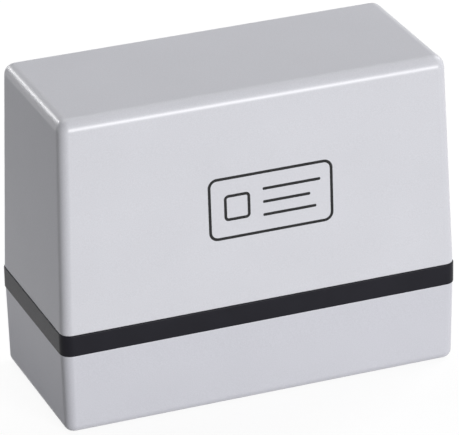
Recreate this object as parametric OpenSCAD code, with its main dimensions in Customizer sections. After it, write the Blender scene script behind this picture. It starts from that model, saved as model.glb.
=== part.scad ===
// Pre-inked hand stamp, closed in its cap.
// A hollow handle cover sits on a black chassis, whose band shows between the handle and the cap.
// Inside, a sprung skirt keeps the inked die off the paper until the handle is pressed.
// Millimetres, +Z up. The origin is on the table under the middle of the cap, the front faces -Y.

/* [Outside] */
// Width of the handle and the cap where they meet the band
body_w = 70; // [64:1:90]
// Depth of the handle and the cap where they meet the band
body_d = 31; // [29:1:45]
// Height of the cap
cap_h = 14.3; // [13:0.1:20]
// Height of the black band
band_h = 3.7; // [3:0.1:6]
// Height of the handle cover above the band
handle_h = 37.2; // [30:0.1:50]
// Lean of each side of the handle from the band to the top
handle_draft = 1.2; // [0.4:0.1:2]
// Lean of each side of the cap from the band to the table
cap_draft = 0.2; // [0.05:0.05:0.5]
// How far the band stands out past the handle and the cap
band_proud = 0.15; // [0.1:0.05:1]
// Radius of the upright corner edges
corner_r = 1.8; // [1:0.1:3.5]
// Radius of the edges round the top of the handle
top_edge_r = 2; // [0.6:0.1:3]
// Radius of the edges round the bottom of the cap
cap_edge_r = 1.5; // [0.4:0.1:3]
// Radius of the band's outer edges
band_edge_r = 0.15; // [0.1:0.05:0.8]

/* [Walls] */
// Side wall of the handle cover
handle_wall = 1.6; // [1.2:0.1:2.4]
// Top wall of the handle cover
handle_top = 2; // [1.4:0.1:3]
// Side wall of the cap
cap_wall = 1.4; // [1:0.1:2]
// Floor of the cap
cap_floor = 1.6; // [1:0.1:2.4]
// Walls of the chassis
chassis_wall = 1.2; // [1:0.1:1.6]
// Deck across the top of the chassis
deck_t = 2; // [1.4:0.1:3]
// Walls of the skirt
skirt_wall = 1.2; // [0.9:0.1:1.6]
// Side wall of the die frame
frame_wall = 0.8; // [0.6:0.1:1.2]
// Side wall of the carrier's tray
tray_wall = 0.8; // [0.6:0.1:1.2]
// Radius of the upright corners of all the inner pieces
inside_r = 0.8; // [0.4:0.1:1]
// Thickness of the ribs under the top of the handle
rib_t = 1.2; // [0.8:0.1:2]
// Height of the ribs under the top of the handle
rib_h = 5; // [2:0.5:8]
// Distance of each cross rib from the middle of the handle
cross_rib_x = 14; // [8:1:20]

/* [Press] */
// Height of the plug of the chassis in the cap
plug_h = 6; // [4:0.5:8]
// Way that the skirt moves up when the stamp is pressed
press_travel = 2.5; // [1.5:0.1:2.8]
// Depth of the die's face behind the skirt's edge at rest
die_recess = 1.6; // [1:0.1:2]
// Thickness of the skirt's cross bars
bar_t = 1.6; // [1.2:0.1:2.4]
// Width of the skirt's cross bars
bar_w = 9; // [7.5:0.5:12]
// Diameter of the posts that guide the skirt
post_d = 4; // [3.4:0.1:4.6]
// Distance of the posts from the ends of the carrier
post_end = 6; // [5:0.5:9]
// Distance of the posts from the front and back of the carrier
post_side = 4.5; // [3.8:0.1:6]
// Diameter of the spring wire
wire_d = 0.5; // [0.3:0.05:0.7]
// Length of the springs as fitted
spring_len = 15; // [10:0.5:18]
// Turns of each spring
spring_turns = 7; // [5:1:8]
// How much closer than the mean the end turns of a spring lie
spring_end = 0.5; // [0:0.05:0.6]

/* [Die and ink] */
// Height of the foam die's printing face below its rim
face_h = 2.1; // [1.8:0.1:3]
// Thickness of the foam die's rim
foam_rim_t = 0.9; // [0.6:0.1:1.5]
// Width of the foam die's rim
foam_rim_w = 0.7; // [0.5:0.1:1.5]
// Thickness of the lip of the die frame
lip_t = 1; // [0.6:0.1:1.4]
// Thickness of the ink pad
pad_t = 4; // [2.5:0.1:5]
// Thickness of the carrier's plate
plate_t = 2.4; // [2:0.1:3]
// Outer diameter of the filler tubes
tube_d = 5; // [4:0.1:7]
// Bore of the filler tubes
tube_bore = 3; // [2:0.1:3.4]
// Distance of each filler tube from the middle
tube_x = 9; // [5:0.5:12]

/* [Screws] */
// Diameter of the screws' shanks
screw_d = 1.9; // [1.5:0.1:2.1]
// Length of the screws under the head
screw_len = 8; // [5:0.5:10]
// Diameter of the screws' heads
head_d = 3.8; // [3:0.1:4.4]
// Height of the screws' heads
head_h = 1; // [0.8:0.1:1.3]
// Width of the slots of the cross recess
slot_w = 0.7; // [0.4:0.1:1]
// Length of the slots of the cross recess
slot_l = 2.4; // [1.8:0.1:2.8]
// Depth of the cross recess
slot_depth = 0.5; // [0.3:0.1:0.7]

/* [Fits] */
// Clearance of a pressed rib or a clipped wall
grip_gap = 0.05; // [0.03:0.01:0.1]
// Clearance between walls that slide past each other
slide_gap = 0.2; // [0.15:0.05:0.3]
// Clearance of the chassis in the handle cover
cover_gap = 0.2; // [0.15:0.05:0.4]
// Clearance of the plug in the cap, which the cap's ribs take up
plug_gap = 0.25; // [0.15:0.05:0.4]
// Clearance of the skirt's bores round the posts
post_gap = 0.1; // [0.05:0.01:0.2]
// Clearance of the springs round the posts
coil_gap = 0.3; // [0.2:0.05:0.5]
// Clearance of the springs' ends from their seats
seat_gap = 0.05; // [0.03:0.01:0.1]
// Clearance round the pad, the foam and the filler tubes
loose_gap = 0.1; // [0.05:0.05:0.3]
// Clearance of the screws' heads and shanks in the carrier
screw_gap = 0.15; // [0.1:0.05:0.3]
// Clearance of the screws' shanks in the posts
thread_gap = 0.04; // [0.02:0.01:0.08]
// Clearance of the skirt's edge from the cap's floor
floor_gap = 0.8; // [0.5:0.1:1.2]
// Room above the skirt at the end of its travel
stop_gap = 0.3; // [0.2:0.1:0.6]
// Width of the grip ribs in the cap and on the chassis
grip_w = 1.6; // [1:0.1:3]
// Height of the grip ribs on the chassis
grip_h = 6; // [3:0.5:9]
// Distance of the grip ribs on the long sides from the middle
grip_x = 21; // [10:1:26]
// Distance of the cap's grip ribs from its rim
grip_lead = 1; // [0.5:0.1:2]

/* [Hidden] */
silver = [0.79, 0.80, 0.82];
black = [0.07, 0.07, 0.08];
dark = [0.13, 0.13, 0.15];
felt = [0.10, 0.12, 0.35];
foam = [0.20, 0.22, 0.42];
steel = [0.62, 0.63, 0.65];

// Steps of a quarter circle in outlines and edges, and facets of round pieces
arc_steps = 6;
round_fn = 48;
// Rings of the spring's wire in one turn, and sides of the wire
rings_per_turn = 12;
wire_sides = 6;
// Corner radius that is left where a rounded edge has used up its corner
least_r = 0.1;
// Overlap of joined solids and overrun of cuts
merge = 0.4;
cut = 1;

// Heights
band_top = cap_h + band_h;
total_h = band_top + handle_h;
plug_z = cap_h - plug_h;
skirt_z = cap_floor + floor_gap;
die_z = skirt_z + die_recess;
rim_z = die_z + face_h;
lip_z = rim_z - lip_t;
pad_z = rim_z + foam_rim_t;
plate_z = pad_z + pad_t;
seat_z = plate_z + plate_t;
skirt_top = seat_z + bar_t;
ledge_z = skirt_top + press_travel + stop_gap;
deck_z = skirt_top + spring_len;
deck_top = deck_z + deck_t;
head_room = head_h + loose_gap;
rib_z = total_h - handle_top - rib_h;

// Lean of a side at a height
function handle_in(z) = handle_draft * (z - band_top) / handle_h;
function cap_in(z) = cap_draft * (cap_h - z) / cap_h;

// Outline sizes, as width and depth
function inset(size, by) = [size.x - 2 * by, size.y - 2 * by];
body = [body_w, body_d];
function handle_size(z, by) = inset(body, handle_in(z) + by);
function cap_size(z, by) = inset(body, cap_in(z) + by);
upper = handle_size(deck_top, handle_wall + cover_gap);
upper_open = inset(upper, chassis_wall);
plug = cap_size(plug_z, cap_wall + plug_gap);
plug_open = inset(plug, chassis_wall);
skirt_size = inset(plug_open, slide_gap);
skirt_open = inset(skirt_size, skirt_wall);
frame_size = inset(skirt_open, slide_gap);
frame_open = inset(frame_size, frame_wall);
tray_size = inset(frame_open, grip_gap);
tray_open = inset(tray_size, tray_wall);
soft_size = inset(tray_open, loose_gap);
face_size = inset(soft_size, foam_rim_w);
lip_open = inset(face_size, -loose_gap);
cover_grip = handle_size(band_top + grip_h, handle_wall + grip_gap);
cap_grip = inset(plug, -grip_gap);

// Posts, springs and screws
post_x = frame_size.x / 2 - post_end;
post_y = frame_size.y / 2 - post_side;
post_bore = screw_d + 2 * thread_gap;
coil_r = post_d / 2 + coil_gap + wire_d / 2;
coil_rise = spring_len - 2 * seat_gap - wire_d;
corners = [
    ["front_left", [-post_x, -post_y]],
    ["front_right", [post_x, -post_y]],
    ["back_left", [-post_x, post_y]],
    ["back_right", [post_x, post_y]]
];

// Rectangle with round corners, as points
function outline(size, r) = [
    for (q = [0:3], i = [0:arc_steps])
        let (a = 90 * (q + i / arc_steps), sx = q == 0 || q == 3 ? 1 : -1, sy = q < 2 ? 1 : -1)
        [sx * (size.x / 2 - r) + r * cos(a), sy * (size.y / 2 - r) + r * sin(a)]
];

// Angles of a rounded edge, from its side to its flat
edge_angles = [for (i = [0:arc_steps]) 90 * i / arc_steps];

// Outline size and corner radius of a rounded edge at an angle, which draws both in
function edge_level(size, r, edge, a) =
    let (drawn = edge * (1 - cos(a)))
    [inset(size, drawn), max(r - drawn, least_r)];

// Solid skinned over levels, each a height, an outline size and a corner radius
module loft(levels) {
    count = 4 * (arc_steps + 1);
    points = [for (l = levels) for (p = outline(l[1], l[2])) [p.x, p.y, l[0]]];
    sides = [
        for (k = [0:len(levels) - 2], j = [0:count - 1])
            let (a = k * count, b = a + count, n = (j + 1) % count)
            [a + j, b + j, b + n, a + n]
    ];
    floor_face = [for (j = [0:count - 1]) j];
    top_face = [for (j = [0:count - 1]) len(points) - 1 - j];
    polyhedron(points, concat([floor_face], sides, [top_face]));
}

// Straight solid between two heights on a rectangle with the inner pieces' corners
module prism(size, z0, z1)
    translate([0, 0, z0]) linear_extrude(z1 - z0) polygon(outline(size, inside_r));

// Open frame between two heights
module ring_wall(outer, inner, z0, z1)
    difference() {
        prism(outer, z0, z1);
        prism(inner, z0 - cut, z1 + cut);
    }

// Repeats its children at each of the four posts
module at_posts()
    for (c = corners)
        translate(c[1]) children();

// Grip ribs that stand between two outlines, two on each long side and one on each short side
module grip_ribs(outer, inner, z0, z1) {
    long_t = (outer.y - inner.y) / 2;
    short_t = (outer.x - inner.x) / 2;
    for (s = [-1, 1]) {
        for (x = [-grip_x, grip_x])
            translate([x - grip_w / 2, s * (inner.y + long_t) / 2 - long_t / 2, z0])
                cube([grip_w, long_t, z1 - z0]);
        translate([s * (inner.x + short_t) / 2 - short_t / 2, -grip_w / 2, z0])
            cube([short_t, grip_w, z1 - z0]);
    }
}

// Silver handle with its top edges rounded, hollow from below and ribbed under the top
module handle_cover() color(silver) {
    top_side = total_h - top_edge_r;
    inner_top = total_h - handle_top;
    difference() {
        loft(concat(
            [[band_top, body, corner_r]],
            [for (a = edge_angles)
                let (e = edge_level(handle_size(top_side, 0), corner_r, top_edge_r, a))
                [top_side + top_edge_r * sin(a), e[0], e[1]]]
        ));
        loft([
            for (z = [band_top - cut, inner_top]) [z, handle_size(z, handle_wall), inside_r]
        ]);
    }
    intersection() {
        union() {
            translate([-body_w / 2, -rib_t / 2, rib_z]) cube([body_w, rib_t, rib_h + merge]);
            for (x = [-cross_rib_x, cross_rib_x])
                translate([x - rib_t / 2, -body_d / 2, rib_z]) cube([rib_t, body_d, rib_h + merge]);
        }
        loft([
            for (z = [rib_z - cut, inner_top + merge])
                [z, handle_size(z, handle_wall - merge), inside_r]
        ]);
    }
}

// Black body: the band, the plug in the cap, and the walls, deck and posts inside the handle
module chassis() color(black) {
    band = inset(body, -band_proud);
    band_r = corner_r + band_proud;
    difference() {
        union() {
            loft(concat(
                [for (i = [arc_steps:-1:0])
                    let (a = edge_angles[i], e = edge_level(band, band_r, band_edge_r, a))
                    [cap_h + band_edge_r * (1 - sin(a)), e[0], e[1]]],
                [for (a = edge_angles)
                    let (e = edge_level(band, band_r, band_edge_r, a))
                    [band_top - band_edge_r * (1 - sin(a)), e[0], e[1]]]
            ));
            prism(plug, plug_z, cap_h + merge);
            prism(upper, band_top - merge, deck_top);
            grip_ribs(cover_grip, inset(upper, merge), band_top - merge, band_top + grip_h);
        }
        prism(plug_open, plug_z - cut, ledge_z);
        prism(upper_open, ledge_z - cut, deck_z);
        for (x = [-tube_x, tube_x])
            translate([x, 0, deck_z - cut])
                cylinder(d = tube_d + 2 * loose_gap, h = deck_t + 2 * cut, $fn = round_fn);
    }
    at_posts()
        difference() {
            translate([0, 0, seat_z])
                cylinder(d = post_d, h = deck_z - seat_z + merge, $fn = round_fn);
            translate([0, 0, seat_z - cut])
                cylinder(d = post_bore, h = screw_len + cut, $fn = round_fn);
        }
}

// Silver dust cap with its lower edges rounded and grip ribs below its rim
module cap() color(silver) {
    low_side = cap_size(cap_edge_r, 0);
    difference() {
        loft(concat(
            [for (i = [arc_steps:-1:0])
                let (a = edge_angles[i], e = edge_level(low_side, corner_r, cap_edge_r, a))
                [cap_edge_r * (1 - sin(a)), e[0], e[1]]],
            [[cap_h, body, corner_r]]
        ));
        loft([
            for (z = [cap_floor, cap_h + cut]) [z, cap_size(z, cap_wall), inside_r]
        ]);
    }
    grip_ribs(inset(body, cap_wall / 2), cap_grip, plug_z, cap_h - grip_lead);
}

// Frame that slides in the chassis, with two bars that run on the posts
module skirt() color(dark)
    difference() {
        union() {
            ring_wall(skirt_size, skirt_open, skirt_z, skirt_top);
            for (x = [-post_x, post_x])
                translate([x - bar_w / 2, -skirt_open.y / 2 - merge, seat_z])
                    cube([bar_w, skirt_open.y + 2 * merge, bar_t]);
        }
        at_posts()
            translate([0, 0, seat_z - cut])
                cylinder(d = post_d + 2 * post_gap, h = bar_t + 2 * cut, $fn = round_fn);
    }

// Plate under the posts, with a tray for the pad below and filler tubes above
module die_carrier() color(dark)
    difference() {
        union() {
            prism(frame_size, plate_z, seat_z);
            ring_wall(tray_size, tray_open, rim_z + loose_gap, plate_z + merge);
            for (x = [-tube_x, tube_x])
                translate([x, 0, seat_z - merge])
                    cylinder(d = tube_d, h = deck_top - seat_z + merge, $fn = round_fn);
        }
        for (x = [-tube_x, tube_x])
            translate([x, 0, plate_z - cut])
                cylinder(d = tube_bore, h = deck_top - plate_z + 2 * cut, $fn = round_fn);
        at_posts() {
            translate([0, 0, plate_z - cut])
                cylinder(d = screw_d + 2 * screw_gap, h = plate_t + 2 * cut, $fn = round_fn);
            translate([0, 0, plate_z - cut])
                cylinder(d = head_d + 2 * screw_gap, h = head_room + cut, $fn = round_fn);
        }
    }

// Felt that stores the ink
module ink_pad() color(felt)
    prism(soft_size, pad_z, plate_z);

// Printing foam: a face that stands through the die frame, and the rim that it is held by
module foam_die() color(foam) {
    prism(soft_size, rim_z, pad_z);
    prism(face_size, die_z, rim_z + foam_rim_t / 2);
}

// Frame that clips over the tray and holds the foam by its rim
module die_frame() color(black)
    difference() {
        ring_wall(frame_size, lip_open, lip_z, plate_z);
        prism(frame_open, rim_z, plate_z + cut);
    }

// Height of the spring's wire at a part of its length, closer at both ends
function coil_z(u) = coil_rise * (u - spring_end * sin(360 * u) / (2 * PI));

// Middle of the spring's wire at a part of its length
function coil_point(u) =
    let (a = 360 * spring_turns * u)
    [coil_r * cos(a), coil_r * sin(a), skirt_top + seat_gap + wire_d / 2 + coil_z(u)];

// One compression spring, standing on the skirt's bar round a post
module spring() color(steel) {
    rings = spring_turns * rings_per_turn;
    points = [
        for (k = [0:rings], j = [0:wire_sides - 1])
            let (a = 360 * spring_turns * k / rings, b = 360 * j / wire_sides, out = wire_d / 2 * cos(b))
            coil_point(k / rings) + [out * cos(a), out * sin(a), wire_d / 2 * sin(b)]
    ];
    skin = [
        for (k = [0:rings - 1], j = [0:wire_sides - 1])
            let (p = k * wire_sides, q = p + wire_sides, n = (j + 1) % wire_sides)
            each [[p + j, q + n, q + j], [p + j, p + n, q + n]]
    ];
    last = rings * wire_sides;
    ends = [
        for (j = [1:wire_sides - 2])
            each [[0, j + 1, j], [last, last + j, last + j + 1]]
    ];
    polyhedron(points, concat(skin, ends));
    half_turn = rings_per_turn / 2;
    echo(spring_least_gap = min([
        for (k = [0:rings - half_turn], m = [k + half_turn:rings])
            norm(coil_point(k / rings) - coil_point(m / rings)) - wire_d
    ]));
}

// Screw from below, with a cross recess in its head
module screw() color(steel)
    translate([0, 0, plate_z + head_room])
        difference() {
            union() {
                translate([0, 0, -head_h]) cylinder(d = head_d, h = head_h, $fn = round_fn);
                translate([0, 0, -head_h / 2])
                    cylinder(d = screw_d, h = screw_len + head_h / 2, $fn = round_fn);
            }
            for (turn = [0, 90])
                rotate(turn)
                    translate([-slot_l / 2, -slot_w / 2, -head_h - cut])
                        cube([slot_l, slot_w, slot_depth + cut]);
        }

handle_cover();
chassis();
cap();
skirt();
die_carrier();
ink_pad();
foam_die();
die_frame();
for (c = corners) {
    translate(c[1]) spring();
    translate(c[1]) screw();
}
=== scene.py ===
import math
from collections import namedtuple
from functools import cache

import bmesh
import bpy
from bpy.props import FloatProperty, FloatVectorProperty, PointerProperty
from mathutils import Matrix, Vector


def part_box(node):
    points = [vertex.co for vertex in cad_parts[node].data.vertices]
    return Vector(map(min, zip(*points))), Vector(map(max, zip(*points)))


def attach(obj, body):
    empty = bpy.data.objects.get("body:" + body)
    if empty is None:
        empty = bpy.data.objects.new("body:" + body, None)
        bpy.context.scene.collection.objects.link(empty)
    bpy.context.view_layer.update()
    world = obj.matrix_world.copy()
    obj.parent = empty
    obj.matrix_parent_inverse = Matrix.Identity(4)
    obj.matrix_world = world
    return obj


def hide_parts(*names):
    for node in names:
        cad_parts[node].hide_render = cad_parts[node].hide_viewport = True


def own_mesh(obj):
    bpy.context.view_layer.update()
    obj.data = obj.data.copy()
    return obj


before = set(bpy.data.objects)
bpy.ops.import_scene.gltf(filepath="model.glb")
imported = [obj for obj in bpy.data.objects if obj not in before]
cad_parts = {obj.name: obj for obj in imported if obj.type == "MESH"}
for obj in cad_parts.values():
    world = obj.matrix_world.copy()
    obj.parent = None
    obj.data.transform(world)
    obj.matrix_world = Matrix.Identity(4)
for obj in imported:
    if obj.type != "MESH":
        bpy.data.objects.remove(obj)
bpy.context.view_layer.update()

bl_info = {
    "name": "Pre-inked stamp",
    "version": (1, 0, 0),
    "blender": (4, 5, 0),
    "location": "View3D > Sidebar > Stamp",
    "description": "Models a pre-inked hand stamp round its packed solids",
    "category": "Object",
}

MM = 0.001

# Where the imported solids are
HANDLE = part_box("handle_cover")
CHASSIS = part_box("chassis")
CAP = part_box("cap")
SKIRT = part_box("skirt")
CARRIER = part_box("die_carrier")
DIE_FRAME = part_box("die_frame")
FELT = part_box("ink_pad")
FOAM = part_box("foam_die")
BAND_LOW = CAP[1].z
BAND_HIGH = HANDLE[0].z
CORNERS = ("front_left", "front_right", "back_left", "back_right")
SPRINGS = {corner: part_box("spring_" + corner) for corner in CORNERS}
POSTS = {corner: (low + high) / 2 for corner, (low, high) in SPRINGS.items()}
POST_PLACES = [(place.x, place.y) for place in POSTS.values()]

# Edges that turn by more than this stay sharp, and points that are closer than this are one
CREASE = math.radians(32)
SAME_POINT = 1e-6
# How close such points are before shapes are joined or cut
SAME_LOOSE_POINT = 1e-7
# Steps round corners and edges, and sides of posts, bores and recesses
CORNER_STEPS = 8
EDGE_STEPS = 3
TOP_STEPS = 10
BASE_STEPS = 8
RULE_STEPS = 4
ROD_SIDES = 48
BORE_SIDES = 32
HEAD_SIDES = 40
# Share of a wall that a rib, post or tube is rooted in
ROOTED = 0.5
# How far a raised rib or bar is sunk into the face that carries it
SUNK = 0.3 * MM
# How far a cut runs past the face that it opens
PAST = 1.0 * MM
# How far a normal leans off its axis where wear begins, and where it is full
WEAR_BEGINS = 0.0008
WEAR_FULL = 0.012
# Height over the band in which the chassis' grain turns coarse
GRAIN_RISE = 0.5 * MM
# Turns of a spring, steps in a turn, sides of the wire, and how much flatter the ends climb
COIL_TURNS = 7
COIL_STEPS = 36
WIRE_SIDES = 12
COIL_ENDS = 0.5
# Place across the die and share of its length of each raised bar
PRINT_BARS = ((3.2 * MM, 0.62), (0.4 * MM, 0.78), (-2.4 * MM, 0.5))
# Row and share of the room of each printed rule
MARK_RULES = ((1, 1.0), (0, 0.82), (-1, 0.92))

# Place and size of the soft boxes, and the point that they face
SOFT_BOXES = {
    "key": ((0.53, -1.675, 0.25), (0.60, 0.50)),
    "side": ((0.63, 0.25, 0.54), (0.45, 0.45)),
    "top": ((-0.04, 0.38, 0.78), (0.45, 0.45)),
    "rim": ((-0.375, 0.82, 0.385), (0.14, 0.14)),
    "fill": ((-0.47, 0.18, 0.06), (0.20, 0.20)),
}
LIT_POINT = Vector((0.0, 0.0, 0.028))
WHITE = (1.0, 1.0, 1.0, 1.0)
FLOOR_SIZE = 3.0
FLOOR_DROP = 0.05 * MM


def length(name, description, size_mm):
    """A length property with its default in millimetres."""
    return FloatProperty(
        name=name, description=description, default=size_mm * MM, min=0.0,
        precision=5, unit="LENGTH", subtype="DISTANCE",
    )


def angle(name, description, degrees):
    """An angle property with its default in degrees."""
    return FloatProperty(
        name=name, description=description, default=math.radians(degrees),
        precision=4, unit="ROTATION", subtype="ANGLE",
    )


def power(name, description, watts):
    """A lamp power property in watts."""
    return FloatProperty(name=name, description=description, default=watts, min=0.0, unit="POWER")


def share(name, description, value):
    """A property between 0 and 1."""
    return FloatProperty(
        name=name, description=description, default=value, min=0.0, max=1.0, subtype="FACTOR",
    )


def tone(name, description, colour):
    """A colour property in linear red, green and blue."""
    return FloatVectorProperty(
        name=name, description=description, default=colour, size=3, min=0.0, max=1.0, subtype="COLOR",
    )


class StampShells(bpy.types.PropertyGroup):
    """Sizes of the silver handle and cap"""

    handle_lean: length("Handle lean", "How far each side of the handle leans in up to its top", 1.2)
    cap_lean: length("Cap lean", "How far each side of the cap leans in down to its floor", 0.2)
    corner: length("Upright corner", "Radius of the four upright corners", 1.8)
    top_edge: length("Top edge", "Radius of the edge round the handle's top", 2.0)
    top_corner: length("Top corner", "Radius of the corners of the handle's flat top", 0.3)
    base_edge: length("Base edge", "Radius of the edge round the cap's floor", 1.5)
    seam_edge: length("Seam edge", "Radius of the rims that meet the band", 0.16)
    inner_corner: length("Inner corner", "Radius of the corners inside the shells", 0.8)
    handle_wall: length("Handle wall", "Thickness of the handle's sides", 1.6)
    handle_roof: length("Handle roof", "Thickness of the handle's top", 2.0)
    cap_wall: length("Cap wall", "Thickness of the cap's sides", 1.4)
    cap_floor: length("Cap floor", "Thickness of the cap's floor", 1.6)
    rib_wall: length("Rib wall", "Thickness of the stiffening ribs under the handle's top", 1.2)
    rib_height: length("Rib height", "Height of the stiffening ribs under the handle's top", 5.0)
    rib_place: length("Rib place", "Distance of the cross ribs from the middle", 14.0)


class StampWorks(bpy.types.PropertyGroup):
    """Sizes of the chassis and of what slides and sits in it"""

    band_proud: length("Band proud", "How far the band stands out of the silver shells", 0.15)
    wall: length("Chassis wall", "Thickness of the chassis walls and the skirt", 1.2)
    slide_gap: length("Slide gap", "Clearance of the sliding skirt", 0.2)
    upper_inset: length("Upper inset", "How far the chassis walls stand inside the handle's rim", 2.252)
    deck: length("Deck", "Thickness of the deck under the handle", 2.0)
    ledge: length("Ledge", "Depth of the ledge over the skirt below the band's top", 0.2)
    post: length("Post", "Diameter of the four spring posts", 4.0)
    screw_bore: length("Screw bore", "Diameter of the bores for the screws' shanks", 2.1)
    screw_head: length("Screw head", "Diameter of the recesses for the screws' heads", 4.1)
    screw_sink: length("Screw sink", "Depth of the recesses for the screws' heads", 1.05)
    screw_depth: length("Screw depth", "How far the screws go into the posts", 8.0)
    tube: length("Filler tube", "Diameter of the two ink filler tubes", 5.0)
    tube_bore: length("Filler bore", "Diameter of the bores that lead ink to the felt", 3.0)
    tube_place: length("Filler place", "Distance of the filler tubes from the middle", 9.0)
    bar: length("Bar", "Width of the skirt's two bars", 9.0)
    bar_thick: length("Bar thickness", "Thickness of the skirt's two bars", 1.6)
    plate: length("Carrier plate", "Thickness of the plate over the ink felt", 2.4)
    frame_wall: length("Frame wall", "Thickness of the die frame's sides and the tray's", 0.8)
    frame_lip: length("Frame lip", "Thickness of the lip that holds the foam", 1.0)
    lip_reach: length("Lip reach", "How far the lip reaches in under the foam", 0.6)
    seat_gap: length("Seat gap", "Clearance of the tray in the die frame", 0.05)
    grip_wide: length("Grip rib", "Width of the ribs that hold the handle and the cap", 1.6)
    grip_place: length("Grip place", "Distance of the long sides' grip ribs from the middle", 21.0)
    grip_high: length("Grip height", "Height of the handle's grip ribs", 6.0)
    grip_proud: length("Grip proud", "How far the handle's grip ribs stand out of the chassis", 0.4)
    grip_gap: length("Grip gap", "Clearance of the cap's grip ribs", 0.05)
    grip_lead: length("Grip lead", "How far below the cap's rim its grip ribs end", 1.0)
    wire: length("Spring wire", "Diameter of the spring wire", 0.5)


class StampDie(bpy.types.PropertyGroup):
    """Sizes of the printing foam"""

    rim: length("Foam rim", "Thickness of the foam's held rim", 0.9)
    rim_reach: length("Foam rim reach", "How far the held rim stands out of the foam's sides", 0.7)
    relief: length("Foam relief", "How far the raised bars stand out of the foam", 0.12)
    ends: length("Print ends", "Distance of the raised bars from the foam's ends", 3.0)
    sides: length("Print sides", "Distance of the raised rules from the foam's sides", 2.6)
    rule: length("Print rule", "Width of the two long rules", 0.5)
    bar: length("Print bar", "Width of the bars between them", 1.1)


class StampEdges(bpy.types.PropertyGroup):
    """Radii of the small roundings"""

    band: length("Band edge", "Radius of the band's two edges", 0.15)
    deck: length("Deck edge", "Radius of the edge round the chassis deck", 0.4)
    foot: length("Foot edge", "Radius of the edges at the chassis' foot", 0.25)
    skirt: length("Skirt edge", "Radius of the skirt's edges", 0.3)
    plate: length("Plate edge", "Radius of the edge round the carrier plate", 0.3)
    die_frame: length("Die frame edge", "Radius of the edges at the die frame's foot", 0.25)
    felt: length("Felt edge", "Radius of the felt's edges", 0.5)
    rim: length("Foam rim edge", "Radius of the edges of the foam's held rim", 0.2)
    face: length("Foam face edge", "Radius of the edge round the printing face", 0.4)


class StampFinishes(bpy.types.PropertyGroup):
    """Colours of the finishes, and how matt they are"""

    silver: tone("Pearl silver", "Lacquer of the handle", (0.609, 0.612, 0.655))
    # The cap's lacquer is the handle's silver made darker, as painted shade for the less lit cap
    cap_silver: tone("Cap silver", "Lacquer of the cap, a shade darker", (0.573, 0.576, 0.626))
    black: tone("Satin black", "Moulded chassis and die frame", (0.013, 0.0127, 0.0175))
    charcoal: tone("Charcoal", "Moulded skirt and die carrier", (0.024, 0.024, 0.027))
    foam: tone("Foam", "Printing foam stained by ink", (0.07, 0.09, 0.26))
    felt: tone("Felt", "Felt that is soaked with ink", (0.02, 0.03, 0.12))
    steel: tone("Spring steel", "Drawn wire of the springs", (0.55, 0.56, 0.58))
    zinc: tone("Zinc", "Plated screws", (0.50, 0.50, 0.49))
    print_ink: tone("Print ink", "Mark on the front", (0.012, 0.012, 0.013))
    floor: tone("Floor", "Plain floor", (0.28, 0.28, 0.28))
    matt_faces: share("Matt faces", "How much rougher the silver's faces are than its worn edges", 0.3)
    matt_works: share("Matt works", "How much rougher the chassis is above its band", 0.28)


class StampMark(bpy.types.PropertyGroup):
    """Sizes of the plain mark printed on the handle's front"""

    wide: length("Mark width", "Width of the printed outline", 22.0)
    high: length("Mark height", "Height of the printed outline", 11.0)
    line: length("Mark line", "Thickness of the printed lines", 0.5)
    corner: length("Mark corner", "Radius of the outline's corners", 1.6)
    margin: length("Mark margin", "Free room at both ends of the rules", 2.2)
    row: length("Mark row", "Distance between the rules", 2.31)
    square: length("Mark square", "Side of the small square", 4.62)
    square_place: length("Mark square place", "Distance of the square from the outline's left end", 5.06)
    square_corner: length("Mark square corner", "Radius of the square's corners", 0.8)
    rule_end: length("Mark rule end", "Radius of the rules' ends", 0.225)
    across: length("Mark place", "Distance of the mark's middle to the right of the front's middle", 2.0)
    up: length("Mark rise", "Height of the mark's middle over the handle's rim", 17.5)
    film: length("Mark film", "Thickness of the ink film", 0.012)
    sunk: share("Mark sunk", "Share of the film that is under the lacquer's face", 0.2)


class StampStage(bpy.types.PropertyGroup):
    """Camera, light and floor"""

    azimuth: angle("Azimuth", "Direction that the camera looks from, round the stamp", -21.0241)
    elevation: angle("Elevation", "Height of the camera over the horizon", 24.8923)
    roll: angle("Roll", "Turn of the camera about its own axis", -1.2616)
    distance: length("Distance", "Distance of the camera from the point it looks at", 666.8844)
    lens: length("Lens", "Focal length of the camera", 313.971)
    aim: FloatVectorProperty(
        name="Aim", description="Point that the camera looks at", size=3, precision=5,
        default=(-0.8745 * MM, -3.3025 * MM, 28.0 * MM), unit="LENGTH", subtype="TRANSLATION",
    )
    key: power("Key light", "Large soft box in front on the right", 29.6)
    side: power("Side light", "Soft box on the right, a little behind", 2.9)
    top: power("Top light", "Soft box overhead, a little behind", 2.0)
    rim: power("Rim light", "Small box behind on the left", 2.3)
    fill: power("Fill light", "Weak soft box low on the left", 0.27)
    ambient: share("Ambient", "Even light from all round", 0.06)
    floor_glow: share("Floor glow", "How white the camera sees the floor without any lamp", 0.90)
    floor_shade: share("Floor shade", "How much the floor that the camera sees shows light and shadow", 0.15)


# A rounded rectangle round the upright axis: half its sizes, its corners' radius and its height
Level = namedtuple("Level", "half_x half_y corner z")


def outline(box, inset, corner, z):
    """Level of a rounded rectangle inside a node's box."""
    return Level(box[1].x - inset, box[1].y - inset, corner, z)


def moved(level, z, inset=0.0):
    """The same rounded rectangle at another height, drawn in by an inset."""
    return Level(level.half_x - inset, level.half_y - inset, level.corner, z)


def leaning(box, foot, head, lean):
    """Gives levels of a shell whose sides lean in between two heights."""
    def level(z, inset, corner):
        return outline(box, lean * (z - foot) / (head - foot) + inset, corner, z)
    return level


def turned_over(level, z, radius, corners, steps):
    """Levels that turn a shell's sides over a rounded edge, downwards if the radius is below zero."""
    rings = []
    for step in range(steps + 1):
        turn = math.pi / 2 * step / steps
        drawn = 1.0 - math.cos(turn)
        corner = corners[0] + (corners[1] - corners[0]) * drawn
        ring = level(z, abs(radius) * drawn, corner)
        rings.append(ring._replace(z=z + radius * math.sin(turn)))
    return rings


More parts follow.
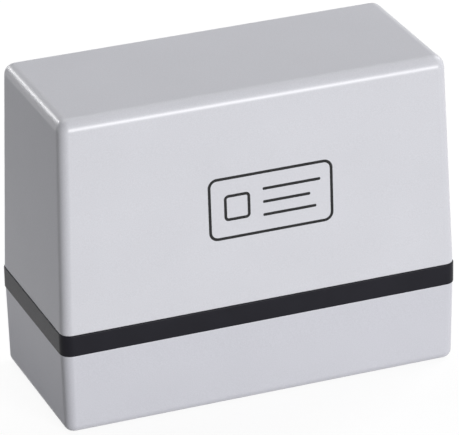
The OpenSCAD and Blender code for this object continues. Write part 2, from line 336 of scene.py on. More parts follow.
def plug_half(works):
    """Half sizes of the chassis' lower end, which holds the skirt and plugs into the cap."""
    around = works.slide_gap + works.wall
    return SKIRT[1].x + around, SKIRT[1].y + around


def only(geometry, kind):
    """Picks one kind of element out of an operator's result."""
    return [part for part in geometry if isinstance(part, kind)]


def rounded_face(bm, middle, half_x, half_y, corner, steps=CORNER_STEPS):
    """Adds a flat rectangle with rounded corners and returns its face."""
    made = bmesh.ops.create_grid(bm, x_segments=1, y_segments=1, size=1.0)["verts"]
    bmesh.ops.scale(bm, vec=(half_x, half_y, 1.0), verts=made)
    bmesh.ops.translate(bm, vec=middle, verts=made)
    rounded = bmesh.ops.bevel(
        bm, geom=made, offset=corner, segments=steps, profile=0.5, affect="VERTICES", material=-1,
    )
    return rounded["verts"][0].link_faces[0]


def skin(bm, levels, ring=False):
    """Extrudes a rounded rectangle from level to level and returns each level's edges.

    The first and the last level are closed, or joined to each other in a ring.
    """
    first = levels[0]
    face = rounded_face(bm, (0.0, 0.0, first.z), first.half_x, first.half_y, first.corner)
    turns = {}
    for vert in face.verts:
        side_x = math.copysign(1.0, vert.co.x)
        side_y = math.copysign(1.0, vert.co.y)
        out_x = (vert.co.x - side_x * (first.half_x - first.corner)) / first.corner
        out_y = (vert.co.y - side_y * (first.half_y - first.corner)) / first.corner
        turns[vert] = (side_x, side_y, out_x, out_y)
    loops = [list(face.edges)]
    if ring:
        bmesh.ops.delete(bm, geom=[face], context="FACES_ONLY")
    for level in levels[1:]:
        made = bmesh.ops.extrude_edge_only(bm, edges=loops[-1])["geom"]
        before, turns = turns, {}
        for vert in only(made, bmesh.types.BMVert):
            for edge in vert.link_edges:
                other = edge.other_vert(vert)
                if other in before:
                    turns[vert] = before[other]
        for vert, (side_x, side_y, out_x, out_y) in turns.items():
            vert.co.x = side_x * (level.half_x - level.corner) + out_x * level.corner
            vert.co.y = side_y * (level.half_y - level.corner) + out_y * level.corner
            vert.co.z = level.z
        edges = only(made, bmesh.types.BMEdge)
        loops.append([edge for edge in edges if all(vert in turns for vert in edge.verts)])
    if ring:
        bmesh.ops.bridge_loops(bm, edges=loops[0] + loops[-1])
    else:
        bmesh.ops.edgeloop_fill(bm, edges=loops[-1])
    return loops


def round_edges(bm, edges, radius):
    """Rounds edges with a circular fillet."""
    bmesh.ops.bevel(
        bm, geom=edges, offset=radius, offset_type="OFFSET", segments=EDGE_STEPS, profile=0.5,
        affect="EDGES", material=-1, clamp_overlap=True,
    )


def add_box(bm, corner, opposite):
    """Adds a closed box between two opposite corners."""
    corner, opposite = Vector(corner), Vector(opposite)
    size = [abs(part) for part in opposite - corner]
    made = bmesh.ops.create_cube(bm, size=1.0)["verts"]
    bmesh.ops.scale(bm, vec=size, verts=made)
    bmesh.ops.translate(bm, vec=(corner + opposite) / 2, verts=made)


def add_rods(bm, places, low, high, diameter, sides=ROD_SIDES):
    """Adds closed upright rods at places."""
    for x, y in places:
        made = bmesh.ops.create_cone(
            bm, cap_ends=True, cap_tris=False, segments=sides,
            radius1=diameter / 2, radius2=diameter / 2, depth=high - low,
        )["verts"]
        bmesh.ops.translate(bm, vec=(x, y, (low + high) / 2), verts=made)


def add_grips(bm, half_x, half_y, reach, low, high, works):
    """Adds the six upright ribs that hold a shell, outside of half sizes."""
    half = works.grip_wide / 2
    for side in (-1, 1):
        for x in (-works.grip_place, works.grip_place):
            add_box(bm, (x - half, side * half_y, low), (x + half, side * (half_y + reach), high))
        add_box(bm, (side * half_x, -half, low), (side * (half_x + reach), half, high))


def loose_object(bm):
    """Puts a bmesh into an object for a short while."""
    bmesh.ops.remove_doubles(bm, verts=bm.verts, dist=SAME_LOOSE_POINT)
    bmesh.ops.recalc_face_normals(bm, faces=bm.faces)
    mesh = bpy.data.meshes.new("loose")
    bm.to_mesh(mesh)
    bm.free()
    obj = bpy.data.objects.new("loose", mesh)
    bpy.context.scene.collection.objects.link(obj)
    return obj


def carve(bm, added=None, cut=None):
    """Joins closed shapes to a closed shape, cuts others out of it and returns the result."""
    holder = loose_object(bm)
    tools = []
    for tool, operation in ((added, "UNION"), (cut, "DIFFERENCE")):
        if tool is None:
            continue
        tools.append(loose_object(tool))
        step = holder.modifiers.new(operation, "BOOLEAN")
        step.operation = operation
        step.solver = "EXACT"
        step.object = tools[-1]
    shaped = holder.evaluated_get(bpy.context.evaluated_depsgraph_get())
    result = bmesh.new()
    result.from_mesh(shaped.to_mesh())
    shaped.to_mesh_clear()
    for obj in [holder] + tools:
        mesh = obj.data
        bpy.data.objects.remove(obj)
        bpy.data.meshes.remove(mesh)
    return result


def mark_worn_edges(bm):
    """Writes how far hands have worn each point: 0 on flat faces and 1 on rounded edges."""
    bm.normal_update()
    worn = bm.verts.layers.float.new("worn")
    for vert in bm.verts:
        if all(edge.smooth for edge in vert.link_edges):
            off_axis = 1.0 - max(abs(part) for part in vert.normal)
            wear = (off_axis - WEAR_BEGINS) / (WEAR_FULL - WEAR_BEGINS)
            vert[worn] = min(max(wear, 0.0), 1.0)


def make_piece(name, bm, body, slot, finish, node=None):
    """Closes a bmesh into a piece that rides on a body and may stand for a CAD node."""
    bmesh.ops.remove_doubles(bm, verts=bm.verts, dist=SAME_POINT)
    bmesh.ops.dissolve_degenerate(bm, edges=bm.edges, dist=SAME_POINT)
    bmesh.ops.recalc_face_normals(bm, faces=bm.faces)
    if any(not edge.is_manifold for edge in bm.edges):
        raise RuntimeError(name + " isn't closed")
    for face in bm.faces:
        face.smooth = True
    for edge in bm.edges:
        edge.smooth = edge.calc_face_angle(0.0) < CREASE
    if slot == "pearl_silver":
        mark_worn_edges(bm)
    mesh = bpy.data.meshes.new(name)
    bm.to_mesh(mesh)
    bm.free()
    mesh.materials.append(finish)
    obj = bpy.data.objects.new(name, mesh)
    bpy.context.scene.collection.objects.link(obj)
    even = obj.modifiers.new("Even shading", "WEIGHTED_NORMAL")
    even.keep_sharp = True
    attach(obj, body)
    if node:
        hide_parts(node)
    return obj


def feed(tree, socket, value):
    """Links or sets one input of a node."""
    if isinstance(value, bpy.types.NodeSocket):
        tree.links.new(value, socket)
    else:
        socket.default_value = value


def add_node(tree, kind, output, inputs, operation=None):
    """Adds a node, feeds its inputs and returns one of its outputs."""
    made = tree.nodes.new("ShaderNode" + kind)
    if operation:
        made.operation = operation
    for key, value in inputs.items():
        feed(tree, made.inputs[key], value)
    return made.outputs[output]


def show_apart(tree, output, lit, seen):
    """Shows one shader straight, in mirrors and through glass, and lets the other light the stamp."""
    rays = tree.nodes.new("ShaderNodeLightPath").outputs
    straight = rays["Is Camera Ray"]
    for ray in ("Is Glossy Ray", "Is Transmission Ray"):
        straight = add_node(tree, "Math", "Value", {0: straight, 1: rays[ray]}, "MAXIMUM")
    mixed = add_node(tree, "MixShader", "Shader", {"Fac": straight, 1: lit, 2: seen})
    tree.links.new(mixed, tree.nodes[output].inputs["Surface"])


class Finish:
    """A procedural material on object coordinates, in one of the finishes' colours."""

    def __init__(self, name, colour):
        self.material = bpy.data.materials.new(name)
        self.material.use_nodes = True
        self.tree = self.material.node_tree
        self.shader = self.tree.nodes["Principled BSDF"]
        self.colour = Vector(getattr(bpy.context.scene.stamp_finishes, colour))
        self.place = add_node(self.tree, "TexCoord", "Object", {})

    def use(self, socket, value):
        """Feeds the shader."""
        feed(self.tree, self.shader.inputs[socket], value)

    def noise(self, cells, detail=2.0, rough=0.5, stretch=(1.0, 1.0, 1.0)):
        """Noise of a number of cells to the metre."""
        place = add_node(self.tree, "Mapping", "Vector", {"Vector": self.place, "Scale": stretch})
        grain = {"Vector": place, "Scale": cells, "Detail": detail, "Roughness": rough}
        return add_node(self.tree, "TexNoise", "Fac", grain)

    def spread(self, value, low, high, start=0.3, end=0.7):
        """Maps a pattern onto a range."""
        ends = {"Value": value, "From Min": start, "From Max": end, "To Min": low, "To Max": high}
        return add_node(self.tree, "MapRange", "Result", ends)

    def add(self, first, second):
        """Adds two values."""
        return add_node(self.tree, "Math", "Value", {0: first, 1: second}, "ADD")

    def height(self):
        """Reads how high a point is over the floor at rest."""
        return add_node(self.tree, "SeparateXYZ", "Z", {"Vector": self.place})

    def worn(self):
        """Reads how far a piece's edges are worn smooth."""
        made = self.tree.nodes.new("ShaderNodeAttribute")
        made.attribute_name = "worn"
        return made.outputs["Fac"]

    def shade(self, pattern, low, high):
        """Multiplies the colour by a pattern."""
        times = {0: self.colour, "Scale": self.spread(pattern, low, high)}
        self.colour = add_node(self.tree, "VectorMath", "Vector", times, "SCALE")
        self.use("Base Color", self.colour)

    def bump(self, pattern, rise, below=None):
        """Raises the surface by a pattern, on top of another bump."""
        inputs = {"Strength": 1.0, "Distance": rise, "Height": pattern}
        if below is not None:
            inputs["Normal"] = below
        return add_node(self.tree, "Bump", "Normal", inputs)


@cache
def silver_lacquer(name, colour):
    """Silver lacquer with fine flake, matt on its faces and worn smooth on its edges."""
    made = Finish(name, colour)
    flake = made.noise(6500.0, detail=1.0)
    peel = made.noise(650.0, detail=1.5)
    matt = made.spread(made.worn(), bpy.context.scene.stamp_finishes.matt_faces, 0.0, start=0.0, end=1.0)
    made.shade(made.noise(70.0), 0.985, 1.015)
    made.shade(flake, 0.96, 1.04)
    made.use("Roughness", made.add(made.spread(flake, 0.35, 0.41), matt))
    made.use("Specular IOR Level", 0.5)
    made.use("Normal", made.bump(flake, 0.0015 * MM, below=made.bump(peel, 0.003 * MM)))
    return made.material


@cache
def satin_black():
    """Black moulded plastic with a fine spark-eroded grain, coarser where the handle hides it."""
    made = Finish("satin_black", "black")
    grain = made.noise(3800.0, detail=3.0)
    coarse = bpy.context.scene.stamp_finishes.matt_works
    matt = made.spread(made.height(), 0.0, coarse, start=BAND_HIGH, end=BAND_HIGH + GRAIN_RISE)
    made.shade(made.noise(160.0), 0.9, 1.1)
    made.use("Roughness", made.add(made.spread(grain, 0.34, 0.42), matt))
    made.use("Specular IOR Level", 0.1)
    made.use("Normal", made.bump(grain, 0.004 * MM))
    return made.material


@cache
def inner_charcoal():
    """Charcoal moulded plastic with a matt grain."""
    made = Finish("inner_charcoal", "charcoal")
    grain = made.noise(2600.0, detail=4.0)
    made.shade(made.noise(130.0), 0.88, 1.12)
    made.use("Roughness", made.spread(grain, 0.48, 0.6))
    made.use("Specular IOR Level", 0.4)
    made.use("Normal", made.bump(grain, 0.008 * MM))
    return made.material


@cache
def inked_foam():
    """Microporous foam, stained unevenly by ink."""
    made = Finish("inked_foam", "foam")
    pores = made.noise(9000.0, detail=3.0, rough=0.6)
    stain = made.noise(240.0, detail=4.0)
    made.shade(stain, 0.75, 1.2)
    made.shade(pores, 0.7, 1.1)
    made.use("Roughness", made.spread(stain, 0.45, 0.75))
    made.use("Specular IOR Level", 0.35)
    made.use("Normal", made.bump(pores, 0.02 * MM))
    return made.material


@cache
def inked_felt():
    """Pressed felt that is soaked with ink."""
    made = Finish("inked_felt", "felt")
    fibres = made.noise(1600.0, detail=5.0, rough=0.7, stretch=(1.0, 3.5, 1.5))
    stain = made.noise(180.0, detail=3.0)
    made.shade(stain, 0.7, 1.25)
    made.shade(fibres, 0.6, 1.3)
    made.use("Roughness", made.spread(stain, 0.6, 0.9))
    made.use("Sheen Weight", 0.2)
    made.use("Normal", made.bump(fibres, 0.08 * MM))
    return made.material


@cache
def spring_steel():
    """Drawn wire with fine lines and a little oil."""
    made = Finish("spring_steel", "steel")
    drawn = made.noise(5200.0, stretch=(1.0, 1.0, 6.0))
    oil = made.noise(420.0)
    made.shade(drawn, 0.85, 1.08)
    made.use("Roughness", made.spread(oil, 0.2, 0.38))
    made.use("Metallic", 1.0)
    made.use("Normal", made.bump(drawn, 0.003 * MM))
    return made.material


@cache
def zinc_plate():
    """Zinc plating, slightly mottled."""
    made = Finish("zinc_plate", "zinc")
    mottle = made.noise(2100.0, detail=3.0)
    made.shade(mottle, 0.86, 1.1)
    made.use("Roughness", made.spread(mottle, 0.3, 0.45))
    made.use("Metallic", 1.0)
    made.use("Normal", made.bump(mottle, 0.003 * MM))
    return made.material


@cache
def print_ink():
    """Film of pad-printing ink."""
    made = Finish("print_ink", "print_ink")
    edge = made.noise(5200.0, detail=3.0)
    made.shade(edge, 0.8, 1.5)
    made.use("Roughness", made.spread(edge, 0.4, 0.55))
    made.use("Specular IOR Level", 0.15)
    made.use("Normal", made.bump(edge, 0.002 * MM))
    return made.material


class STAMP_OT_handle(bpy.types.Operator):
    """Model the hollow silver handle"""

    bl_idname = "stamp.handle"
    bl_label = "Handle"

    def execute(self, context):
        shell = context.scene.stamp_shells
        low, high = HANDLE
        level = leaning(HANDLE, low.z, high.z, shell.handle_lean)
        roof = high.z - shell.handle_roof
        levels = [
            level(roof, shell.handle_wall, shell.inner_corner),
            level(low.z, shell.handle_wall, shell.inner_corner),
            level(low.z, 0.0, shell.corner),
        ]
        corners = (shell.corner, shell.top_corner)
        levels += turned_over(level, high.z - shell.top_edge, shell.top_edge, corners, TOP_STEPS)
        bm = bmesh.new()
        rim = skin(bm, levels)[2]
        round_edges(bm, rim, shell.seam_edge)

        half = shell.rib_wall / 2
        foot = roof - shell.rib_height
        head = roof + ROOTED * shell.handle_roof
        root = level(foot, ROOTED * shell.handle_wall, 0.0)
        long_rib = bmesh.new()
        add_box(long_rib, (-root.half_x, -half, foot), (root.half_x, half, head))
        cross_ribs = bmesh.new()
        for x in (-shell.rib_place, shell.rib_place):
            add_box(cross_ribs, (x - half, -root.half_y, foot), (x + half, root.half_y, head))
        bm = carve(carve(bm, added=long_rib), added=cross_ribs)
        lacquer = silver_lacquer("handle_silver", "silver")
        make_piece("handle_shell", bm, "handle", "pearl_silver", lacquer, "handle_cover")
        return {"FINISHED"}


class STAMP_OT_cap(bpy.types.Operator):
    """Model the silver dust cap"""

    bl_idname = "stamp.cap"
    bl_label = "Cap"

    def execute(self, context):
        shell = context.scene.stamp_shells
        works = context.scene.stamp_works
        low, high = CAP
        level = leaning(CAP, high.z, low.z, shell.cap_lean)
        levels = [
            level(low.z + shell.cap_floor, shell.cap_wall, shell.inner_corner),
            level(high.z, shell.cap_wall, shell.inner_corner),
            level(high.z, 0.0, shell.corner),
        ]
        corners = (shell.corner, shell.corner - shell.base_edge)
        levels += turned_over(level, low.z + shell.base_edge, -shell.base_edge, corners, BASE_STEPS)
        bm = bmesh.new()
        loops = skin(bm, levels)
        round_edges(bm, loops[1] + loops[2], shell.seam_edge)

        grips = bmesh.new()
        plug_x, plug_y = plug_half(works)
        reach = high.x - ROOTED * shell.cap_wall - plug_x
        rib_high = high.z - works.grip_lead
        gap = works.grip_gap
        add_grips(grips, plug_x + gap, plug_y + gap, reach, CHASSIS[0].z, rib_high, works)
        # The cap's darker lacquer is painted shade
        lacquer = silver_lacquer("cap_silver", "cap_silver")
        make_piece("cap_shell", carve(bm, added=grips), "cap", "pearl_silver", lacquer, "cap")
        return {"FINISHED"}


class STAMP_OT_chassis(bpy.types.Operator):
    """Model the chassis with the black band"""

    bl_idname = "stamp.chassis"
    bl_label = "Chassis and band"

    def execute(self, context):
        shell = context.scene.stamp_shells
        works = context.scene.stamp_works
        edges = context.scene.stamp_edges
        low, high = CHASSIS
        wall = works.wall
        deck = high.z - works.deck
        ledge = BAND_HIGH - works.ledge
        upper = outline(HANDLE, works.upper_inset, shell.inner_corner, high.z)
        band = outline(HANDLE, -works.band_proud, shell.corner + works.band_proud, BAND_HIGH)
        plug = Level(*plug_half(works), shell.inner_corner, BAND_LOW)
        bm = bmesh.new()
        brow, _, band_top, band_base, _, foot, inner_foot, *_ = skin(bm, [
            upper,
            moved(upper, BAND_HIGH),
            band,
            moved(band, BAND_LOW),
            plug,
            moved(plug, low.z),
            moved(plug, low.z, wall),
            moved(plug, ledge, wall),
            moved(upper, ledge, wall),
            moved(upper, deck, wall),
        ])
        round_edges(bm, band_top + band_base, edges.band)
        round_edges(bm, brow, edges.deck)
        round_edges(bm, foot + inner_foot, edges.foot)

        added = bmesh.new()
        reach = SUNK + works.grip_proud
        rib_high = BAND_HIGH + works.grip_high
        add_grips(added, upper.half_x - SUNK, upper.half_y - SUNK, reach, BAND_HIGH - SUNK, rib_high, works)
        seat = FELT[1].z + works.plate
        add_rods(added, POST_PLACES, seat, deck + ROOTED * works.deck, works.post)
        bores = bmesh.new()
        add_rods(bores, POST_PLACES, seat - PAST, seat + works.screw_depth, works.screw_bore, BORE_SIDES)
        tubes = ((-works.tube_place, 0.0), (works.tube_place, 0.0))
        add_rods(bores, tubes, deck - PAST, high.z + PAST, works.tube + works.slide_gap)
        bm = carve(bm, added=added, cut=bores)
        make_piece("chassis_body", bm, "stamp", "satin_black", satin_black(), "chassis")
        return {"FINISHED"}


class STAMP_OT_skirt(bpy.types.Operator):
    """Model the sliding skirt"""

    bl_idname = "stamp.skirt"
    bl_label = "Skirt"

    def execute(self, context):
        shell = context.scene.stamp_shells
        works = context.scene.stamp_works
        low, high = SKIRT
        outer = outline(SKIRT, 0.0, shell.inner_corner, high.z)
        bm = bmesh.new()
        loops = skin(bm, [
            outer,
            moved(outer, low.z),
            moved(outer, low.z, works.wall),
            moved(outer, high.z, works.wall),
        ], ring=True)
        round_edges(bm, sum(loops, []), context.scene.stamp_edges.skirt)

        bars = bmesh.new()
        half = works.bar / 2
        reach = high.y - ROOTED * works.wall
        under = high.z - works.bar_thick
        for x in (-POSTS["front_right"].x, POSTS["front_right"].x):
            add_box(bars, (x - half, -reach, under), (x + half, reach, high.z))
        bores = bmesh.new()
        add_rods(bores, POST_PLACES, under - PAST, high.z + PAST, works.post + works.slide_gap)
        bm = carve(bm, added=bars, cut=bores)
        make_piece("skirt_frame", bm, "skirt", "inner_black", inner_charcoal(), "skirt")
        return {"FINISHED"}


class STAMP_OT_carrier(bpy.types.Operator):
    """Model the die carrier with its filler tubes"""

    bl_idname = "stamp.carrier"
    bl_label = "Die carrier"

    def execute(self, context):
        shell = context.scene.stamp_shells
        works = context.scene.stamp_works
        low, high = CARRIER
        under = FELT[1].z
        seat = under + works.plate
        plate = outline(CARRIER, 0.0, shell.inner_corner, seat)
        tray = works.frame_wall + works.seat_gap
        inside = tray + works.frame_wall
        bm = bmesh.new()
        brow = skin(bm, [
            plate,
            moved(plate, under),
            moved(plate, under, tray),
            moved(plate, low.z, tray),
            moved(plate, low.z, inside),
            moved(plate, under, inside),
        ])[0]
        round_edges(bm, brow, context.scene.stamp_edges.plate)

        places = ((-works.tube_place, 0.0), (works.tube_place, 0.0))
        middle = under + ROOTED * works.plate
        tubes = bmesh.new()
        add_rods(tubes, places, middle, high.z, works.tube)
        bores = bmesh.new()
        add_rods(bores, places, under - PAST, high.z + PAST, works.tube_bore)
        add_rods(bores, POST_PLACES, middle, seat + PAST, works.screw_bore, BORE_SIDES)
        heads = bmesh.new()
        add_rods(heads, POST_PLACES, under - PAST, under + works.screw_sink, works.screw_head, HEAD_SIDES)
        bm = carve(carve(bm, added=tubes, cut=bores), cut=heads)
        make_piece("carrier_tray", bm, "stamp", "inner_black", inner_charcoal(), "die_carrier")
        return {"FINISHED"}


class STAMP_OT_die_frame(bpy.types.Operator):
    """Model the thin frame that holds the foam"""

    bl_idname = "stamp.die_frame"
    bl_label = "Die frame"

    def execute(self, context):
        shell = context.scene.stamp_shells
        works = context.scene.stamp_works
        low, high = DIE_FRAME
        lip = low.z + works.frame_lip
        opening = high.x - FOAM[1].x + works.lip_reach
        outer = outline(DIE_FRAME, 0.0, shell.inner_corner, high.z)
        bm = bmesh.new()
        _, foot, inner_foot, *_ = skin(bm, [
            outer,
            moved(outer, low.z),
            moved(outer, low.z, opening),
            moved(outer, lip, opening),
            moved(outer, lip, works.frame_wall),
            moved(outer, high.z, works.frame_wall),
        ], ring=True)
        round_edges(bm, foot + inner_foot, context.scene.stamp_edges.die_frame)
        make_piece("foam_frame", bm, "stamp", "satin_black", satin_black(), "die_frame")
        return {"FINISHED"}


class STAMP_OT_pads(bpy.types.Operator):
    """Model the ink felt and the printing foam"""

    bl_idname = "stamp.pads"
    bl_label = "Felt and foam"

    def execute(self, context):
        edges = context.scene.stamp_edges
        corner = context.scene.stamp_shells.inner_corner
        self.felt(edges, corner)
        self.foam(edges, corner, context.scene.stamp_die)
        return {"FINISHED"}

    def felt(self, edges, corner):
        """A thick pad with soft edges."""
        low, high = FELT
        pad = outline(FELT, 0.0, corner, high.z)
        bm = bmesh.new()
        top, _, base = skin(bm, [pad, moved(pad, (low.z + high.z) / 2), moved(pad, low.z)])
        round_edges(bm, top + base, edges.felt)
        return make_piece("ink_felt", bm, "stamp", "inked_felt", inked_felt(), "ink_pad")

    def foam(self, edges, corner, die):
        """A stepped pad with a held rim, and raised bars on its printing face."""
        low, high = FOAM
        face = low.z + die.relief
        step = high.z - die.rim
        pad = outline(FOAM, 0.0, corner, high.z)
        bm = bmesh.new()
        top, rim, _, brow = skin(bm, [
            pad,
            moved(pad, step),
            moved(pad, step, die.rim_reach),
            moved(pad, face, die.rim_reach),
        ])
        round_edges(bm, top + rim, edges.rim)
        round_edges(bm, brow, edges.face)

        raised = bmesh.new()
        half_x = high.x - die.ends
        half_y = high.y - die.sides
        root = face + SUNK
        for side in (-1, 1):
            add_box(raised, (-half_x, side * half_y, low.z), (half_x, side * (half_y - die.rule), root))
        for y, part in PRINT_BARS:
            reach = half_x * part
            add_box(raised, (-reach, y - die.bar / 2, low.z), (reach, y + die.bar / 2, root))
        bm = carve(bm, added=raised)
        return make_piece("printing_foam", bm, "stamp", "die_foam", inked_foam(), "foam_die")


class STAMP_OT_springs(bpy.types.Operator):
    """Model the four compression springs"""

    bl_idname = "stamp.springs"
    bl_label = "Springs"

    def execute(self, context):
        works = context.scene.stamp_works
        for corner, (low, high) in SPRINGS.items():
            place = POSTS[corner]
            bm = self.coil(place, low, high, works.wire)
            node = "spring_" + corner
            spring = make_piece("coil_" + corner, bm, "stamp", "spring_steel", spring_steel(), node)
            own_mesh(spring)
        return {"FINISHED"}

    def coil(self, place, low, high, wire):
        """Winds a wire round a post, flatter at both ends."""
        radius = (high.x - low.x - wire) / 2
        climb = high.z - low.z - wire
        bm = bmesh.new()
        ring = bmesh.ops.create_circle(bm, cap_ends=True, segments=WIRE_SIDES, radius=wire / 2)["verts"]
        upright = Matrix.Rotation(math.pi / 2, 3, "X")
        bmesh.ops.rotate(bm, cent=(0.0, 0.0, 0.0), matrix=upright, verts=ring)
        bmesh.ops.translate(bm, vec=(place.x + radius, place.y, low.z + wire / 2), verts=ring)
        edges = list(bm.edges)
        turn = Matrix.Rotation(2 * math.pi / COIL_STEPS, 3, "Z")
        steps = COIL_TURNS * COIL_STEPS
        climbed = 0.0
        for step in range(1, steps + 1):
            done = step / steps
            height = climb * (done - COIL_ENDS * math.sin(2 * math.pi * done) / (2 * math.pi))
            made = bmesh.ops.extrude_edge_only(bm, edges=edges)["geom"]
            verts = only(made, bmesh.types.BMVert)
            bmesh.ops.rotate(bm, cent=place, matrix=turn, verts=verts)
            bmesh.ops.translate(bm, vec=(0.0, 0.0, height - climbed), verts=verts)
            climbed = height
            found = set(verts)
            edges = [edge for edge in only(made, bmesh.types.BMEdge) if set(edge.verts) <= found]
        bmesh.ops.edgeloop_fill(bm, edges=edges)
        return bm


class STAMP_OT_screws(bpy.types.Operator):
    """Give the four screws their plating"""

    bl_idname = "stamp.screws"
    bl_label = "Screws"

    def execute(self, context):
        for corner in CORNERS:
            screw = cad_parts["screw_" + corner]
            for place in screw.material_slots:
                place.material = zinc_plate()
        return {"FINISHED"}


class STAMP_OT_mark(bpy.types.Operator):
    """Print a plain mark on the handle's front"""

    bl_idname = "stamp.mark"
    bl_label = "Front mark"

    def execute(self, context):
        mark = context.scene.stamp_mark
        lean = context.scene.stamp_shells.handle_lean
        bm = bmesh.new()
        self.lines(bm, mark)
        film = bmesh.ops.extrude_face_region(bm, geom=list(bm.faces))["geom"]
        raised = only(film, bmesh.types.BMVert)
        bmesh.ops.translate(bm, vec=(0.0, 0.0, mark.film), verts=raised)
        low, high = HANDLE
        rise = high.z - low.z
        face_y = -high.y + lean * mark.up / rise
        place = Matrix.Translation((mark.across, face_y, low.z + mark.up))
        turn = Matrix.Rotation(math.pi / 2 - math.atan2(lean, rise), 4, "X")
        sink = Matrix.Translation((0.0, 0.0, -mark.sunk * mark.film))
        bmesh.ops.transform(bm, matrix=place @ turn @ sink, verts=bm.verts)
        make_piece("front_mark", bm, "handle", "satin_black", print_ink())
        return {"FINISHED"}

    def lines(self, bm, mark):
        """An outline with a small square and three rules in it."""
        half_x = mark.wide / 2
        half = mark.square / 2
        left = -half_x + mark.square_place
        for x, wide, high, corner in (
            (0.0, half_x, mark.high / 2, mark.corner),
            (left, half, half, mark.square_corner),
        ):
            face = rounded_face(bm, (x, 0.0, 0.0), wide, high, corner)
            bmesh.ops.inset_region(
                bm, faces=[face], thickness=mark.line, use_boundary=True, use_even_offset=True,
            )
            bmesh.ops.delete(bm, geom=[face], context="FACES")
        start = left + half + mark.margin
        room = half_x - mark.margin - start
        for row, part in MARK_RULES:
            reach = room * part / 2
            middle = (start + reach, row * mark.row, 0.0)
            rounded_face(bm, middle, reach, mark.line / 2, mark.rule_end, RULE_STEPS)


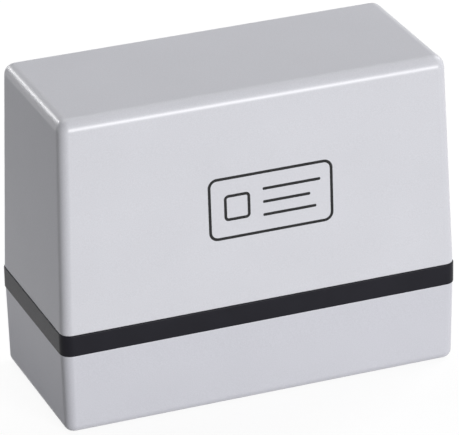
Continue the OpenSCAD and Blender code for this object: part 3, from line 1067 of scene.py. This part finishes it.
class STAMP_OT_stage(bpy.types.Operator):
    """Set up the floor, the soft light and the camera"""

    bl_idname = "stamp.stage"
    bl_label = "Stage"

    def execute(self, context):
        scene = context.scene
        stage = scene.stamp_stage
        scene.view_settings.view_transform = "Standard"
        self.camera(scene, stage)
        self.lights(scene, stage)
        self.world(scene, stage)
        self.floor(scene, stage)
        return {"FINISHED"}

    def camera(self, scene, stage):
        """Looks at the stamp as the photograph does."""
        a, e = stage.azimuth, stage.elevation
        right = Vector((math.cos(a), math.sin(a), 0.0))
        back = Vector((math.sin(a) * math.cos(e), -math.cos(a) * math.cos(e), math.sin(e)))
        up = back.cross(right)
        turned_right = math.cos(stage.roll) * right + math.sin(stage.roll) * up
        turned_up = back.cross(turned_right)
        data = bpy.data.cameras.new("stamp_camera")
        data.sensor_width = 36.0
        data.lens = stage.lens / MM
        data.clip_start = 0.01
        data.clip_end = 20.0
        camera = bpy.data.objects.new("stamp_camera", data)
        scene.collection.objects.link(camera)
        basis = Matrix((turned_right, turned_up, back)).transposed().to_4x4()
        place = Vector(stage.aim) + back * stage.distance
        camera.matrix_world = Matrix.Translation(place) @ basis
        scene.camera = camera

    def lights(self, scene, stage):
        """Hangs the soft boxes round the stamp."""
        for name, (place, size) in SOFT_BOXES.items():
            data = bpy.data.lights.new(name + "_box", "AREA")
            data.shape = "RECTANGLE"
            data.size, data.size_y = size
            data.energy = getattr(stage, name)
            lamp = bpy.data.objects.new(name + "_box", data)
            scene.collection.objects.link(lamp)
            lamp.location = place
            lamp.rotation_euler = (Vector(place) - LIT_POINT).to_track_quat("Z", "Y").to_euler()

    def world(self, scene, stage):
        """Gives even light from all round, and white behind the stamp."""
        world = bpy.data.worlds.new("studio")
        world.use_nodes = True
        tree = world.node_tree
        tree.nodes.remove(tree.nodes["Background"])
        lit = add_node(tree, "Background", "Background", {"Color": WHITE, "Strength": stage.ambient})
        seen = add_node(tree, "Background", "Background", {"Color": WHITE, "Strength": 1.0})
        show_apart(tree, "World Output", lit, seen)
        scene.world = world

    def floor(self, scene, stage):
        """Lays a plain pale floor that shows white and keeps the shadow."""
        bm = bmesh.new()
        made = bmesh.ops.create_grid(bm, x_segments=1, y_segments=1, size=FLOOR_SIZE)["verts"]
        bmesh.ops.translate(bm, vec=(0.0, 0.0, -FLOOR_DROP), verts=made)
        mesh = bpy.data.meshes.new("floor")
        bm.to_mesh(mesh)
        bm.free()
        floor = bpy.data.objects.new("floor", mesh)
        scene.collection.objects.link(floor)
        pale = bpy.data.materials.new("pale_floor")
        pale.use_nodes = True
        tree = pale.node_tree
        tree.nodes.remove(tree.nodes["Principled BSDF"])
        lit = add_node(tree, "BsdfDiffuse", "BSDF", {"Color": (*scene.stamp_finishes.floor, 1.0)})
        grey = (stage.floor_shade, stage.floor_shade, stage.floor_shade, 1.0)
        shade = add_node(tree, "BsdfDiffuse", "BSDF", {"Color": grey})
        glow = add_node(tree, "Emission", "Emission", {"Color": WHITE, "Strength": stage.floor_glow})
        seen = add_node(tree, "AddShader", "Shader", {0: shade, 1: glow})
        show_apart(tree, "Material Output", lit, seen)
        mesh.materials.append(pale)


OPERATORS = (
    STAMP_OT_stage, STAMP_OT_handle, STAMP_OT_cap, STAMP_OT_chassis, STAMP_OT_skirt, STAMP_OT_carrier,
    STAMP_OT_die_frame, STAMP_OT_pads, STAMP_OT_springs, STAMP_OT_screws, STAMP_OT_mark,
)
GROUPS = {
    "stamp_shells": StampShells, "stamp_works": StampWorks, "stamp_die": StampDie,
    "stamp_edges": StampEdges, "stamp_finishes": StampFinishes, "stamp_mark": StampMark,
    "stamp_stage": StampStage,
}


class STAMP_PT_panel(bpy.types.Panel):
    """Lists the steps that build the stamp"""

    bl_idname = "STAMP_PT_panel"
    bl_label = "Pre-inked stamp"
    bl_space_type = "VIEW_3D"
    bl_region_type = "UI"
    bl_category = "Stamp"

    def draw(self, context):
        column = self.layout.column()
        for step in OPERATORS:
            column.operator(step.bl_idname)
        for name, group in GROUPS.items():
            box = self.layout.box()
            settings = getattr(context.scene, name)
            for key in group.__annotations__:
                box.prop(settings, key)


def register():
    """Adds the settings, the steps and the panel to Blender."""
    for name, group in GROUPS.items():
        bpy.utils.register_class(group)
        setattr(bpy.types.Scene, name, PointerProperty(type=group))
    for step in OPERATORS:
        bpy.utils.register_class(step)
    bpy.utils.register_class(STAMP_PT_panel)


def unregister():
    """Takes them out again."""
    bpy.utils.unregister_class(STAMP_PT_panel)
    for step in reversed(OPERATORS):
        bpy.utils.unregister_class(step)
    for name, group in reversed(GROUPS.items()):
        delattr(bpy.types.Scene, name)
        bpy.utils.unregister_class(group)


def main():
    """Builds the stamp and its stage."""
    register()
    bpy.ops.stamp.stage()
    bpy.ops.stamp.handle()
    bpy.ops.stamp.cap()
    bpy.ops.stamp.chassis()
    bpy.ops.stamp.skirt()
    bpy.ops.stamp.carrier()
    bpy.ops.stamp.die_frame()
    bpy.ops.stamp.pads()
    bpy.ops.stamp.springs()
    bpy.ops.stamp.screws()
    bpy.ops.stamp.mark()


if __name__ == "__main__":
    main()
